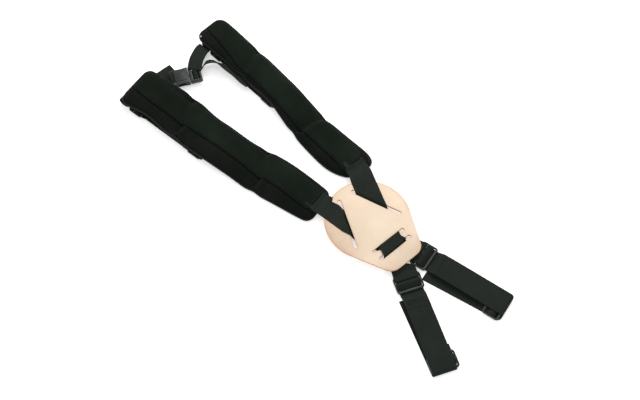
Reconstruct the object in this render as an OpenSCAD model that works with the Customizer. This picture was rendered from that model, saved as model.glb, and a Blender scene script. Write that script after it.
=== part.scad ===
// Padded suspenders for a tool belt: two shoulder pads, a leather back yoke, webbing straps that
// cross at the yoke, and four adjustable belt loops. It lies flat with its back up, as put down.
// X runs across the yoke, Y runs from the belt loops up to the shoulders, Z is up, floor at 0.

/* [Webbing] */
// Width of the strap webbing
web_w = 38; // [36:0.5:38]
// Thickness of the strap webbing
web_t = 1.5; // [1.2:0.1:1.6]
// Width of the chest webbing
chest_w = 25; // [20:1:25]
// Length of a belt loop, from its slider to its fold
loop_len = 148; // [130:1:165]

/* [Yoke] */
// Thickness of the leather yoke
plate_t = 3.2; // [2.8:0.1:3.2]
// Radius of the yoke's broad upper end
plate_r = 68.6; // [67:0.2:70]
// Radius of the yoke's two lower corners
plate_corner_r = 20; // [18:0.5:20]

/* [Sliders] */
// Outside width of a slider, across the strap
slider_w = 44; // [44:0.5:45]
// Outside length of a slider, along the strap
slider_l = 28; // [28:0.5:29]
// Thickness of a slider
slider_t = 3.2; // [2.8:0.1:3.2]

/* [Pads] */
// Half of a pad's width
pad_half_w = 37.5; // [34:0.5:38]
// Thickness of the pad's fabric cover
cover_t = 1.2; // [0.8:0.1:1.4]

/* [Buckle] */
// Thickness of the chest buckle
buckle_t = 9; // [8.6:0.1:9.4]
// Width of the chest buckle
buckle_w = 33; // [32:0.5:34]

/* [Hidden] */
$fn = 48;

// The model is drawn about the yoke's centre and then moved so that its base is centred.
base_shift = [42.54, -113.38, 0];
gap = 0.25;                              // clearance between layers of webbing
bar_z = 4.8;                             // height of a slider's middle
bar_w = 4;                               // width of a slider's outer bars
centre_bar_w = 5;
wrap_r = 2.75;                                // free radius round an outer bar
low_z = bar_z + slider_t/2 + gap + web_t/2;   // webbing that passes over a slider's bar
high_z = bar_z + wrap_r + 1.5*web_t + gap;    // webbing that lies on a sewn eye
plate_z = high_z + web_t/2 + gap;             // underside of the yoke
over_z = plate_z + plate_t + gap + web_t/2;   // webbing that lies on the yoke
bridge_z = over_z + web_t + gap;              // webbing that crosses on top of it
web_end_z = web_t/2;                          // webbing that lies on the floor

// Yoke outline and slots
plate_top_y = 13;
plate_corner = [18, -61.5];
v_slot_top = [14.5, 64.5];
v_slot_bottom = [45.5, -11];
v_slot_w = 5.5;
cross_slot_y = [-36, -51.5];
cross_slot_half = 29;
cross_slot_w = 5;

// Sliders: centre, and the strap's heading from the line that runs down the back
left_back_at = [-20.5, -105.5];
left_back_yaw = -21.5;
right_back_at = [28, -87.5];
right_back_yaw = 16;
left_front_at = [-146, 422];
left_front_yaw = 12;
right_front_at = [28, 427];
right_front_yaw = 4;
loop_r = 3.15;                           // free radius round a centre bar

// Routes of the back straps in plan, from the pad to the bridge between the cross slots
left_back_route = [[-37.8, 79], [-36.2, 73], [-30, 36], [1, -44]];
right_back_route = [[46.3, 89.4], [44.6, 82], [27, 35], [-1, -44]];

// Pads: [x, y, height of the underside, thickness, share of the full width]
left_pad_stations = [
  [-44.5, 78.5, 0.1, 11, 0.80], [-47.5, 91, 0.1, 15, 0.96], [-60, 150, 0.1, 19, 1],
  [-72, 190, 0.6, 15.5, 0.97], [-84, 230, 3.4, 16.5, 0.98], [-96, 276, 10.4, 13, 0.98], [-109, 345, 12, 12, 0.99],
  [-115, 370, 13.6, 14, 1], [-125, 412, 15.6, 14.5, 1], [-131, 444, 15.6, 12.5, 0.97],
  [-134, 456, 15.6, 9, 0.88]
];
right_pad_stations = [
  [47, 91, 0.1, 11, 0.72], [48.5, 103, 0.1, 15, 0.88], [44, 150, 0.1, 18, 0.93],
  [42.5, 205, 0.6, 15, 0.9], [44, 240, 4.2, 15.5, 0.84], [45, 276, 10.4, 12.5, 0.8], [44, 330, 11.6, 12.5, 0.79],
  [41.5, 370, 13.6, 12.5, 0.8], [37.5, 420, 15.6, 14, 0.86], [35, 460, 15.6, 12.5, 0.84],
  [33.5, 474, 15.6, 9, 0.74]
];
// Outline of a pad's section: [across / half width, up / thickness]
pad_section = [
  [-0.96, 0], [0.96, 0], [1, 0.18], [0.97, 0.55], [0.86, 0.86], [0.62, 1], [0.2, 0.99],
  [-0.2, 0.94], [-0.42, 0.84], [-0.72, 0.62], [-0.92, 0.36], [-1, 0.16]
];
strip_from = -0.30;                      // the strip's seam, as a share of the half width
strip_to = 0.72;
strip_t = 1.5;

// Chest buckle: middle of the open mouth, and its heading towards the plug's webbing
buckle_at = [-52.5, 419];
buckle_yaw = -23.4;
buckle_z = 9;
body_l = 31;

function unit(v) = v / norm(v);
function seg_n(a, b) = let (d = unit(b - a)) [-d[1], d[0]];
function mitre(p, i) =
  let (last = len(p) - 1,
       n1 = seg_n(p[max(i - 1, 0)], p[max(i, 1)]),
       n2 = seg_n(p[min(i, last - 1)], p[min(i + 1, last)]))
  (n1 + n2) / (1 + n1 * n2);
// Outline of a line of the given thickness
function band(p, t) = concat(
  [for (i = [0 : len(p) - 1]) p[i] + mitre(p, i) * t/2],
  [for (i = [len(p) - 1 : -1 : 0]) p[i] - mitre(p, i) * t/2]);
function arc(c, r, a0, a1, n) =
  [for (i = [0 : n]) let (a = a0 + (a1 - a0) * i / n) c + r * [cos(a), sin(a)]];

// Smooth curve through the stations
function spline(p, i, t) =
  let (last = len(p) - 1, a = p[max(i - 1, 0)], b = p[i], c = p[i + 1], d = p[min(i + 2, last)])
  0.5 * (2*b + (c - a)*t + (2*a - 5*b + 4*c - d)*t*t + (3*b - a - 3*c + d)*t*t*t);
function smooth(p, n) = concat(
  [for (i = [0 : len(p) - 2]) for (k = [0 : n - 1]) spline(p, i, k / n)], [p[len(p) - 1]]);

// Local frame of a strap: +X runs along the strap away from the yoke, Y runs across it
module strap_frame(at, yaw) {
  translate(concat(at, 0)) rotate([0, 0, yaw - 90]) children();
}
// A side view (along the strap, up) drawn out to the strap's width
module side_extrude(w) {
  translate([0, w/2, 0]) rotate([90, 0, 0]) linear_extrude(w) children();
}

// ---- leather yoke ----
module slot_2d(a, b, w) {
  turn = atan2(b[1] - a[1], b[0] - a[0]);
  polygon(concat(arc(a, w/2, turn + 90, turn + 270, 12), arc(b, w/2, turn - 90, turn + 90, 12)));
}
module plate_outline() {
  top = [0, plate_top_y];
  d = plate_corner - top;
  // direction in which the straight side touches both round ends
  tilt = atan2(d[1], d[0]) + acos((plate_r - plate_corner_r) / norm(d));
  right_side = concat(arc(plate_corner, plate_corner_r, -90, tilt, 10), arc(top, plate_r, tilt, 90, 24));
  left_side = [for (i = [len(right_side) - 2 : -1 : 0]) [-right_side[i][0], right_side[i][1]]];
  polygon(concat(right_side, left_side));
}
module yoke_plate() color([0.86, 0.70, 0.58]) translate(base_shift)
  translate([0, 0, plate_z]) linear_extrude(plate_t) difference() {
    plate_outline();
    for (sx = [-1, 1]) slot_2d([sx * v_slot_top[0], v_slot_top[1]],
                               [sx * v_slot_bottom[0], v_slot_bottom[1]], v_slot_w);
    for (y = cross_slot_y) slot_2d([-cross_slot_half, y], [cross_slot_half, y], cross_slot_w);
  }

// ---- back straps ----
// A strap is a list of rings. Each ring is [left and right at the lower face, right and left above].
function left_of(d) = [-d[1], d[0]];
function cross_ring(p, d, z) = let (n = left_of(d) * web_w/2, h = web_t/2)
  [concat(p + n, z - h), concat(p - n, z - h), concat(p - n, z + h), concat(p + n, z + h)];
// Where a line through p meets the line that is q away from a, measured along the unit vector nq
function meet(p, d, a, nq, q) = p + d * ((q - (p - a) * nq) / (d * nq));
// Rings of a stretch that steps up or down along lines parallel to a slot: profile is [distance, height]
function stepped_rings(p, d, a, nq, profile) =
  let (n = left_of(d) * web_w/2, outline = band(profile, web_t), m = len(profile))
  [for (i = [0 : m - 1]) let (lo = outline[i], up = outline[2*m - 1 - i])
    [concat(meet(p + n, d, a, nq, lo[0]), lo[1]), concat(meet(p - n, d, a, nq, lo[0]), lo[1]),
     concat(meet(p - n, d, a, nq, up[0]), up[1]), concat(meet(p + n, d, a, nq, up[0]), up[1])]];
// Down through a V slot
function v_slot_rings(side, p, d, under_z) =
  let (a = [side * v_slot_top[0], v_slot_top[1]],
       along = unit([side * v_slot_bottom[0], v_slot_bottom[1]] - a))
  stepped_rings(p, d, a, side * left_of(along), [[5, over_z], [2, over_z], [-2, under_z], [-5, under_z]]);
// Up through one cross slot, over the bridge between them and down through the other
function bridge_rings(p, d, under_z, top_z, up_y, down_y) =
  stepped_rings(p, d, [0, 0], [0, 1],
    [[up_y + 3, under_z], [up_y, under_z], [up_y, top_z],
     [down_y, top_z], [down_y, under_z], [down_y - 3, under_z]]);
module ring_solid(rings) {
  m = len(rings);
  points = [for (r = rings) each r];
  polyhedron(points, concat([[3, 2, 1, 0]],
    [for (i = [0 : m - 2], j = [0 : 3]) let (k = (j + 1) % 4)
      each [[i*4 + j, (i+1)*4 + k, (i+1)*4 + j], [i*4 + j, i*4 + k, (i+1)*4 + k]]],
    [[for (j = [0 : 3]) (m - 1)*4 + j]]), convexity = 10);
}
// Ring across a strap at a distance along a slider's own line
function slider_ring(at, yaw, x, z) =
  cross_ring(at + x * [sin(yaw), -cos(yaw)], [sin(yaw), -cos(yaw)], z);
eye_lead = 6;                            // length of strap that is drawn with its eye
// Sewn eye round a slider's outer bar, and the strap that leads to it
eye_x = -slider_l/2 + bar_w/2;
module sewn_eye(at, yaw, lead) {
  strap_frame(at, yaw) side_extrude(web_w) difference() {
    union() {
      translate([eye_x, bar_z]) circle(wrap_r + web_t);
      polygon(band(lead, web_t));
    }
    translate([eye_x, bar_z]) circle(wrap_r);
  }
}
eye_strap = [[eye_x - eye_lead, low_z], [eye_x - 1, low_z]];
module left_back_strap() color([0.10, 0.13, 0.12]) translate(base_shift) {
  r = left_back_route;
  d = unit(r[3] - r[2]);
  ring_solid(concat(
    [cross_ring(r[0], unit(r[1] - r[0]), over_z), cross_ring(r[1], unit(r[2] - r[0]), over_z)],
    v_slot_rings(-1, r[2], d, low_z),
    bridge_rings(r[3], d, low_z, over_z, -37.4, -50.1),
    [slider_ring(right_back_at, right_back_yaw, eye_x - eye_lead - 0.05, low_z)]));
  sewn_eye(right_back_at, right_back_yaw, eye_strap);
}
module right_back_strap() color([0.10, 0.13, 0.12]) translate(base_shift) {
  r = right_back_route;
  d = unit(r[3] - r[2]);
  ring_solid(concat(
    [cross_ring(r[0], unit(r[1] - r[0]), over_z), cross_ring(r[1], unit(r[2] - r[0]), over_z)],
    v_slot_rings(1, r[2], d, high_z),
    bridge_rings(r[3], d, high_z, bridge_z, -35.3, -52.2),
    [slider_ring(left_back_at, left_back_yaw, eye_x - eye_lead - 6, high_z),
     slider_ring(left_back_at, left_back_yaw, eye_x - eye_lead - 0.05, low_z)]));
  sewn_eye(left_back_at, left_back_yaw, eye_strap);
}

// ---- sliders ----
module slider_frame() {
  r = 4;
  window_w = (slider_l - 2*bar_w - centre_bar_w) / 2;
  window_across = web_w + 1;
  linear_extrude(slider_t) difference() {
    union() {
      square([slider_l - 2*r, slider_w], center = true);
      square([slider_l, slider_w - 2*r], center = true);
      for (sx = [-1, 1], sy = [-1, 1])
        translate([sx * (slider_l/2 - r), sy * (slider_w/2 - r)]) circle(r);
    }
    for (sx = [-1, 1]) translate([sx * (centre_bar_w/2 + window_w/2), 0])
      square([window_w, window_across], center = true);
  }
}
module slider(at, yaw) color([0.17, 0.20, 0.19]) translate(base_shift)
  strap_frame(at, yaw) translate([0, 0, bar_z - slider_t/2]) slider_frame();

// ---- belt loops ----
front_z = 8;                             // upper strand of a belt loop
fold_x = loop_len - (front_z - web_end_z) / 2;
module belt_loop(at, yaw) {
  route = concat(
    [[2.35, 7.9], [9.4, 2.6], [10.4, 2.2], [14.8, 2.2], [16.4, 2.6], [25, 7.4], [27, front_z]],
    arc([fold_x, (front_z + web_end_z)/2], (front_z - web_end_z)/2, 90, -90, 8),
    [[slider_l/2 + 11, web_end_z]]);
  color([0.10, 0.13, 0.12]) translate(base_shift) strap_frame(at, yaw) side_extrude(web_w)
    difference() {
      union() {
        polygon(band(route, web_t));
        translate([0, bar_z]) circle(loop_r + web_t);
      }
      translate([0, bar_z]) circle(loop_r);
    }
}
loop_slider_x = loop_len - 16;           // lower slider's place along the loop
module loop_slider(at, yaw, aside = 0) color([0.17, 0.20, 0.19]) translate(base_shift)
  strap_frame(at, yaw) translate([loop_slider_x, aside, (front_z + web_end_z)/2 - slider_t/2])
    slider_frame();

// ---- front straps: out from under the pad's far end, folded back beneath it ----
module front_strap(at, yaw) {
  top_z = 14;
  turn = (top_z - web_end_z) / 2;
  lead = concat([[-4, top_z]],
    arc([-30, web_end_z + turn], turn, 90, 270, 10),
    [[eye_x - 12, web_end_z], [eye_x - 3.6, low_z - 0.3], [eye_x - 1, low_z]]);
  color([0.10, 0.13, 0.12]) translate(base_shift) sewn_eye(at, yaw, lead);
}

// ---- pads ----
function across(p, i) =
  let (last = len(p) - 1, a = p[max(i - 1, 0)], b = p[min(i + 1, last)],
       d = unit([b[0] - a[0], b[1] - a[1]])) [d[1], -d[0]];
// Rings of a section along the stations: each station is [x, y, z, thickness, width share]
module pad_sweep(stations, section) {
  rings = smooth(stations, 3);
  n = len(section);
  m = len(rings);
  points = [for (i = [0 : m - 1]) let (r = rings[i], s = across(rings, i)) for (q = section)
    let (u = q[0] * r[4] * pad_half_w + q[2] * r[4])
      [r[0] + s[0]*u, r[1] + s[1]*u, r[2] + q[1]*r[3] + q[3]]];
  sides = [for (i = [0 : m - 2], j = [0 : n - 1]) let (k = (j + 1) % n)
    each [[i*n + j, (i+1)*n + j, (i+1)*n + k], [i*n + j, (i+1)*n + k, i*n + k]]];
  polyhedron(points, concat([[for (j = [0 : n - 1]) j]], sides,
    [[for (j = [n - 1 : -1 : 0]) (m - 1)*n + j]]), convexity = 6);
}
lining_t = 1.2;
// Each section point is [share across, share up, mm across, mm up]
function lining_section() =
  [[-0.93, 0, 0, 0], [0.93, 0, 0, 0], [0.93, 0, 0, lining_t], [-0.93, 0, 0, lining_t]];
function inset(q, t) =
  [q[0], q[1], -sign(q[0]) * t * min(1, abs(q[0]) * 1.2), q[1] > 0.4 ? -t * q[1] : t * 0.2];
function cover_section() = concat(
  [for (i = [1 : len(pad_section) - 1])
    [pad_section[i][0], pad_section[i][1], 0, i == 1 ? lining_t + 0.3 : 0]],
  [[pad_section[0][0], 0, 0, lining_t + 0.3], [-0.96, 0, 1.4, lining_t + 0.3]],
  [for (i = [len(pad_section) - 1 : -1 : 2]) inset(pad_section[i], cover_t)],
  [[0.96, 0, -1.4, lining_t + 0.3]]);
function foam_section() = concat(
  [[-0.9, 0, 0, lining_t + 0.3], [0.9, 0, 0, lining_t + 0.3]],
  [for (i = [2 : len(pad_section) - 1]) inset(pad_section[i], cover_t + 0.8)]);
module pad_lining(stations) color([0.13, 0.15, 0.14]) translate(base_shift)
  pad_sweep(stations, lining_section());
module pad_foam(stations) color([0.25, 0.25, 0.26]) translate(base_shift)
  pad_sweep([for (i = [1 : len(stations) - 2]) stations[i]], foam_section());
module pad_cover(stations) color([0.11, 0.13, 0.12]) translate(base_shift)
  pad_sweep(stations, cover_section());
function strip_section() =
  let (top = [[strip_to, 0.94], [0.62, 1], [0.2, 0.99], [-0.2, 0.94], [strip_from, 0.9]])
  concat([for (q = top) [q[0], q[1], 0, 0.5 + strip_t]],
         [for (i = [len(top) - 1 : -1 : 0]) [top[i][0], top[i][1], 0, 0.5]]);
module pad_strip(stations) color([0.10, 0.13, 0.12]) translate(base_shift)
  pad_sweep([for (i = [1 : len(stations) - 2]) stations[i]], strip_section());

// ---- chest strap and its side-release buckle ----
module buckle_frame() {
  translate(concat(buckle_at, buckle_z)) rotate([0, 0, buckle_yaw]) children();
}
module rounded_box(l, w, t, r) {
  linear_extrude(t, center = true) {
    square([l - 2*r, w], center = true);
    square([l, w - 2*r], center = true);
    for (sx = [-1, 1], sy = [-1, 1]) translate([sx * (l/2 - r), sy * (w/2 - r)]) circle(r);
  }
}
module chest_buckle_body() color([0.20, 0.24, 0.22]) translate(base_shift) buckle_frame()
  translate([-body_l/2, 0, 0]) difference() {
    rounded_box(body_l, buckle_w, buckle_t, 3);
    // cavity that the plug's arms slide into, open at the mouth and at both side windows
    translate([-body_l/2 + 8, -(buckle_w - 8)/2, -2.4]) cube([body_l, buckle_w - 8, 4.8]);
    for (sy = [-1, 1]) translate([-body_l/2 + 9, sy > 0 ? buckle_w/2 - 5 : -buckle_w/2 - 1, -2.4])
      cube([12, 6, 4.8]);
    // slot for the sewn tab
    translate([-body_l/2 + 2.5, -(chest_w + 1)/2, -buckle_t]) cube([3.6, chest_w + 1, 2*buckle_t]);
  }
module chest_buckle_plug() color([0.20, 0.24, 0.22]) translate(base_shift) buckle_frame() {
  difference() {
    translate([11, 0, 0]) rounded_box(21.4, buckle_w, buckle_t - 1, 3);
    for (x = [7, 14]) translate([x, -(chest_w + 1)/2, -buckle_t]) cube([3.6, chest_w + 1, 2*buckle_t]);
  }
  // guide tongue between the two spring prongs
  translate([-18, -3, -1.8]) cube([18.8, 6, 3.6]);
}
prong_w = 3.2;
prong_y = 7.6;
module prong(side) color([0.20, 0.24, 0.22]) translate(base_shift) buckle_frame() {
  translate([-19.6, side > 0 ? prong_y : -prong_y - prong_w, -1.8]) cube([19.3, prong_w, 3.6]);
}
module ribbon(route, w, t) {
  m = len(route);
  side = [for (i = [0 : m - 1]) across(route, i)];
  points = [for (i = [0 : m - 1]) let (p = route[i], s = side[i], lean = p[3],
      out = [s[0]*cos(lean), s[1]*cos(lean), sin(lean)], up = [-s[0]*sin(lean), -s[1]*sin(lean), cos(lean)])
    for (q = [[-w/2, -t/2], [w/2, -t/2], [w/2, t/2], [-w/2, t/2]])
      [p[0], p[1], p[2]] + q[0]*out + q[1]*up];
  polyhedron(points, concat([[3, 2, 1, 0]],
    [for (i = [0 : m - 2], j = [0 : 3]) let (k = (j + 1) % 4)
      each [[i*4 + j, i*4 + k, (i+1)*4 + k], [i*4 + j, (i+1)*4 + k, (i+1)*4 + j]]],
    [[for (j = [0 : 3]) (m - 1)*4 + j]]));
}
// Webbing behind the left pad's end: a wide anchor under the buckle, and the tab in the buckle's slot
anchor_route = [[-112, 442.5, 14.4, 0], [-104, 443, 10.2, 0], [-96, 443.5, 5.6, 0], [-88, 444.5, 3.2, 0],
  [-62.5, 445, 3.2, 0]];
module chest_tab() color([0.10, 0.13, 0.12]) translate(base_shift) {
  ribbon(anchor_route, web_w, web_t);
  buckle_frame() translate([-body_l - 11, -chest_w/2, -0.75]) cube([10.6, chest_w, web_t]);
}
// [x, y, z, lean]
chest_route = [[-38, 421, 14.3, 0], [-32, 427.5, 14.6, 0], [-22, 436, 15, 0], [-12, 442, 15, 0],
  [-4, 446, 14.4, 0], [2, 448, 13.8, 0]];
tail_route = [[-20, 417.5, 13.5, 66], [-14, 419, 13.5, 66], [-7, 416, 14, 65], [-1, 409, 14.8, 63],
  [1.5, 400, 15, 58], [2.5, 388, 15, 56], [2.5, 372, 14.6, 54], [2.5, 356, 14.2, 54]];
module chest_strap() color([0.10, 0.13, 0.12]) translate(base_shift)
  ribbon(smooth(chest_route, 3), chest_w, web_t);
module chest_strap_tail() color([0.10, 0.13, 0.12]) translate(base_shift)
  ribbon(smooth(tail_route, 3), chest_w, web_t);

yoke_plate();
left_back_strap();
right_back_strap();
slider(left_back_at, left_back_yaw);  // left_back_slider
slider(right_back_at, right_back_yaw);  // right_back_slider
belt_loop(left_back_at, left_back_yaw);  // left_back_loop
belt_loop(right_back_at, right_back_yaw);  // right_back_loop
loop_slider(left_back_at, left_back_yaw, 3);  // left_back_loop_slider
loop_slider(right_back_at, right_back_yaw, -8);  // right_back_loop_slider
front_strap(left_front_at, left_front_yaw);  // left_front_strap
front_strap(right_front_at, right_front_yaw);  // right_front_strap
slider(left_front_at, left_front_yaw);  // left_front_slider
slider(right_front_at, right_front_yaw);  // right_front_slider
belt_loop(left_front_at, left_front_yaw);  // left_front_loop
belt_loop(right_front_at, right_front_yaw);  // right_front_loop
loop_slider(left_front_at, left_front_yaw);  // left_front_loop_slider
loop_slider(right_front_at, right_front_yaw);  // right_front_loop_slider
pad_lining(left_pad_stations);  // left_pad_lining
pad_lining(right_pad_stations);  // right_pad_lining
pad_foam(left_pad_stations);  // left_pad_foam
pad_foam(right_pad_stations);  // right_pad_foam
pad_cover(left_pad_stations);  // left_pad_cover
pad_cover(right_pad_stations);  // right_pad_cover
pad_strip(left_pad_stations);  // left_pad_strip
pad_strip(right_pad_stations);  // right_pad_strip
chest_tab();
chest_buckle_body();
chest_buckle_plug();
prong(-1);  // chest_left_prong
prong(1);  // chest_right_prong
chest_strap();
chest_strap_tail();
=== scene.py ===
import math

import bmesh
import bpy
import numpy as np
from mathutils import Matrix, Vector
from mathutils.bvhtree import BVHTree


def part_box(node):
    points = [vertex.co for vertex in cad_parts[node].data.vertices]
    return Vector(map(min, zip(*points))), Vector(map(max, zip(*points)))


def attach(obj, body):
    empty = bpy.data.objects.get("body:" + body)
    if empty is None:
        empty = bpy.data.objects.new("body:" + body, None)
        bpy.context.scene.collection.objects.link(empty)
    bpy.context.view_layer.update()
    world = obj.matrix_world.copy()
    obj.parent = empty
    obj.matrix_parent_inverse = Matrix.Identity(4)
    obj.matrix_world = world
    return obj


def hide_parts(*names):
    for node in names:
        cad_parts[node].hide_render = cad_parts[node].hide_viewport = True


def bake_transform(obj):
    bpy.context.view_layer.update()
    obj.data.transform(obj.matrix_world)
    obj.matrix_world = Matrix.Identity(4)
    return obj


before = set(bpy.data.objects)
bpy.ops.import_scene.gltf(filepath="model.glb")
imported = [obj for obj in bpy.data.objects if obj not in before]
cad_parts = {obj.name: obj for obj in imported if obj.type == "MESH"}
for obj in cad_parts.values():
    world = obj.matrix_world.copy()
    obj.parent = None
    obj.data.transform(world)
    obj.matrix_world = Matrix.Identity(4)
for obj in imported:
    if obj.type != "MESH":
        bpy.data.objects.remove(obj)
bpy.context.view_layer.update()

MM = 0.001
ROOT = "harness"
rng = np.random.default_rng(11)

# ------------------------------------------------------------------ drawing frame
# Sizes are drawn in millimetres about the yoke's centre, as in the CAD source, and moved to the row frame.
plate_lo, plate_hi = (np.array(v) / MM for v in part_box("yoke_plate"))
PLATE_TOP_Y = 81.6
BASE = np.array([(plate_lo[0] + plate_hi[0]) / 2, plate_hi[1] - PLATE_TOP_Y, 0.0])
PLATE_Z0, PLATE_Z1 = plate_lo[2], plate_hi[2]

WEB_W, WEB_T, GAP = 38.0, 1.5, 0.25
BAR_Z = 4.8
LOW_Z = BAR_Z + 1.6 + GAP + WEB_T / 2
HIGH_Z = PLATE_Z0 - GAP - WEB_T / 2
OVER_Z = PLATE_Z1 + GAP + WEB_T / 2
BRIDGE_Z = OVER_Z + WEB_T + GAP
FLOOR_Z = WEB_T / 2
LOOP_FRONT_Z = 8.0
LOOP_LEN = 148.0
LOOP_SLIDER_X = LOOP_LEN - 16
SLIDER_L, SLIDER_W, SLIDER_T = 28.0, 44.0, 3.2
BAR_W, CENTRE_BAR_W = 4.0, 5.0
EYE_X = -SLIDER_L / 2 + BAR_W / 2
CHEST_W = 25.0

# sideways places of the lower slider, and of the rear strand at its cut end and at the fold
LOOSE = {"left_back": (3.0, -5.0, 0.0), "right_back": (-8.0, -15.0, -7.5), "left_front": (0, 2, 0),
         "right_front": (0, -2, 0)}
HARDWARE = {
    "left_back": (np.array([-20.5, -105.5]), -21.5),
    "right_back": (np.array([28.0, -87.5]), 16.0),
    "left_front": (np.array([-146.0, 422.0]), 12.0),
    "right_front": (np.array([28.0, 427.0]), 4.0),
}


def to_row(points):
    """Drawing millimetres to row frame metres."""
    return (np.asarray(points, float) + BASE) * MM


def unit(v):
    v = np.asarray(v, float)
    return v / np.linalg.norm(v)


def smoothstep(a, b, x):
    t = np.clip((x - a) / (b - a), 0, 1)
    return t * t * (3 - 2 * t)


# ------------------------------------------------------------------ materials
class Nodes:
    """Short helpers for building one material's node tree."""

    def __init__(self, name):
        self.mat = bpy.data.materials.new(name)
        self.mat.use_nodes = True
        self.tree = self.mat.node_tree
        self.bsdf = self.tree.nodes["Principled BSDF"]

    def node(self, kind, **inputs):
        n = self.tree.nodes.new(kind)
        for key, value in inputs.items():
            socket = n.inputs[int(key[1:])] if key[0] == "i" and key[1:].isdigit() else n.inputs[key]
            self.put(value, socket)
        return n

    def put(self, value, socket):
        if isinstance(value, bpy.types.NodeSocket):
            self.tree.links.new(value, socket)
        else:
            socket.default_value = value

    def math(self, op, a, b=0.0, c=0.0):
        n = self.tree.nodes.new("ShaderNodeMath")
        n.operation = op
        for i, v in enumerate((a, b, c)):
            self.put(v, n.inputs[i])
        return n.outputs[0]

    def attribute(self, name):
        n = self.tree.nodes.new("ShaderNodeAttribute")
        n.attribute_name = name
        return n

    def noise(self, vector, scale, detail=3.0, rough=0.55):
        n = self.node("ShaderNodeTexNoise", Scale=scale, Detail=detail, Roughness=rough)
        self.tree.links.new(vector, n.inputs["Vector"])
        return n.outputs["Fac"]

    def ramp(self, fac, stops):
        n = self.tree.nodes.new("ShaderNodeValToRGB")
        self.tree.links.new(fac, n.inputs[0])
        while len(n.color_ramp.elements) < len(stops):
            n.color_ramp.elements.new(0.5)
        for element, (at, colour) in zip(n.color_ramp.elements, stops):
            element.position = at
            element.color = (*colour, 1)
        return n.outputs[0]

    def mix(self, fac, a, b, blend="MIX"):
        n = self.tree.nodes.new("ShaderNodeMix")
        n.data_type = "RGBA"
        n.blend_type = blend
        self.put(fac, n.inputs["Factor"])
        for value, index in ((a, 6), (b, 7)):
            if isinstance(value, tuple):
                value = (*value, 1) if len(value) == 3 else value
            self.put(value, n.inputs[index])
        return n.outputs[2]

    def bump(self, height, strength, distance, before=None):
        n = self.node("ShaderNodeBump", Strength=strength, Distance=distance)
        self.tree.links.new(height, n.inputs["Height"])
        if before is not None:
            self.tree.links.new(before, n.inputs["Normal"])
        return n.outputs[0]

    def finish(self, colour=None, rough=None, normal=None, **fixed):
        if colour is not None:
            self.put(colour, self.bsdf.inputs["Base Color"])
        if rough is not None:
            self.put(rough, self.bsdf.inputs["Roughness"])
        if normal is not None:
            self.put(normal, self.bsdf.inputs["Normal"])
        for key, value in fixed.items():
            self.bsdf.inputs[key.replace("_", " ")].default_value = value
        return self.mat


def object_coords(n):
    return n.tree.nodes.new("ShaderNodeTexCoord").outputs["Object"]


def webbing_material(name, dark, light, column=1.5 * MM, pick=1.7 * MM):
    """Woven tape: ribs along the strap, each broken into picks that alternate from rib to rib."""
    n = Nodes(name)
    weave = n.attribute("weave").outputs["Vector"]
    sep = n.node("ShaderNodeSeparateXYZ")
    n.tree.links.new(weave, sep.inputs[0])
    a = n.math("DIVIDE", sep.outputs[0], column)
    cell = n.math("FLOOR", a)
    across = n.math("SINE", n.math("MULTIPLY", n.math("FRACT", a), math.pi))
    shift = n.math("MULTIPLY", n.math("MODULO", n.math("ABSOLUTE", cell), 2.0), 0.5)
    along = n.math("SINE", n.math("MULTIPLY", n.math("ADD", n.math("DIVIDE", sep.outputs[1], pick), shift),
                                  2 * math.pi))
    raised = n.math("MULTIPLY", across, n.math("MULTIPLY_ADD", along, 0.34, 0.66))
    coords = object_coords(n)
    broad = n.noise(coords, 45.0)
    fine = n.noise(coords, 2600.0, 2.0)
    tone = n.math("ADD", n.math("MULTIPLY", raised, 0.62), n.math("MULTIPLY", broad, 0.3))
    tone = n.math("ADD", tone, n.math("MULTIPLY", fine, 0.12))
    colour = n.ramp(tone, [(0.12, tuple(c * 0.4 for c in dark)), (0.5, dark), (0.95, light)])
    rough = n.math("MULTIPLY_ADD", raised, -0.14, 0.78)
    normal = n.bump(fine, 0.25, 0.0001)
    normal = n.bump(raised, 0.85, 0.00035, normal)
    return n.finish(colour, rough, normal, Sheen_Weight=0.02, Sheen_Roughness=0.4, Specular_IOR_Level=0.16)


def knit_material(name, dark, light, loop=1.1 * MM, sheen=0.25):
    """Fine warp knit: little staggered loops, with soft fuzz and broad rubbed areas."""
    n = Nodes(name)
    coords = object_coords(n)
    turned = n.node("ShaderNodeMapping")
    n.tree.links.new(coords, turned.inputs["Vector"])
    turned.inputs["Rotation"].default_value = (0, 0, math.radians(8))
    sep = n.node("ShaderNodeSeparateXYZ")
    n.tree.links.new(turned.outputs[0], sep.inputs[0])
    a = n.math("DIVIDE", sep.outputs[0], loop)
    shift = n.math("MULTIPLY", n.math("MODULO", n.math("ABSOLUTE", n.math("FLOOR", a)), 2.0), 0.5)
    b = n.math("ADD", n.math("DIVIDE", sep.outputs[1], loop * 0.8), shift)
    loops = n.math("MULTIPLY", n.math("SINE", n.math("MULTIPLY", n.math("FRACT", a), math.pi)),
                   n.math("SINE", n.math("MULTIPLY", n.math("FRACT", b), math.pi)))
    broad = n.noise(coords, 16.0, 4.0)
    fuzz = n.noise(coords, 1500.0, 3.0)
    tone = n.math("ADD", n.math("MULTIPLY", broad, 0.55), n.math("MULTIPLY", loops, 0.3))
    tone = n.math("ADD", tone, n.math("MULTIPLY", fuzz, 0.2))
    colour = n.ramp(tone, [(0.2, tuple(c * 0.55 for c in dark)), (0.5, dark), (0.9, light)])
    rough = n.math("MULTIPLY_ADD", broad, -0.1, 0.93)
    normal = n.bump(broad, 0.12, 0.002)
    normal = n.bump(loops, 0.55, 0.00025, normal)
    normal = n.bump(fuzz, 0.25, 0.00012, normal)
    return n.finish(colour, rough, normal, Sheen_Weight=sheen, Sheen_Roughness=0.5, Specular_IOR_Level=0.07)


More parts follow.
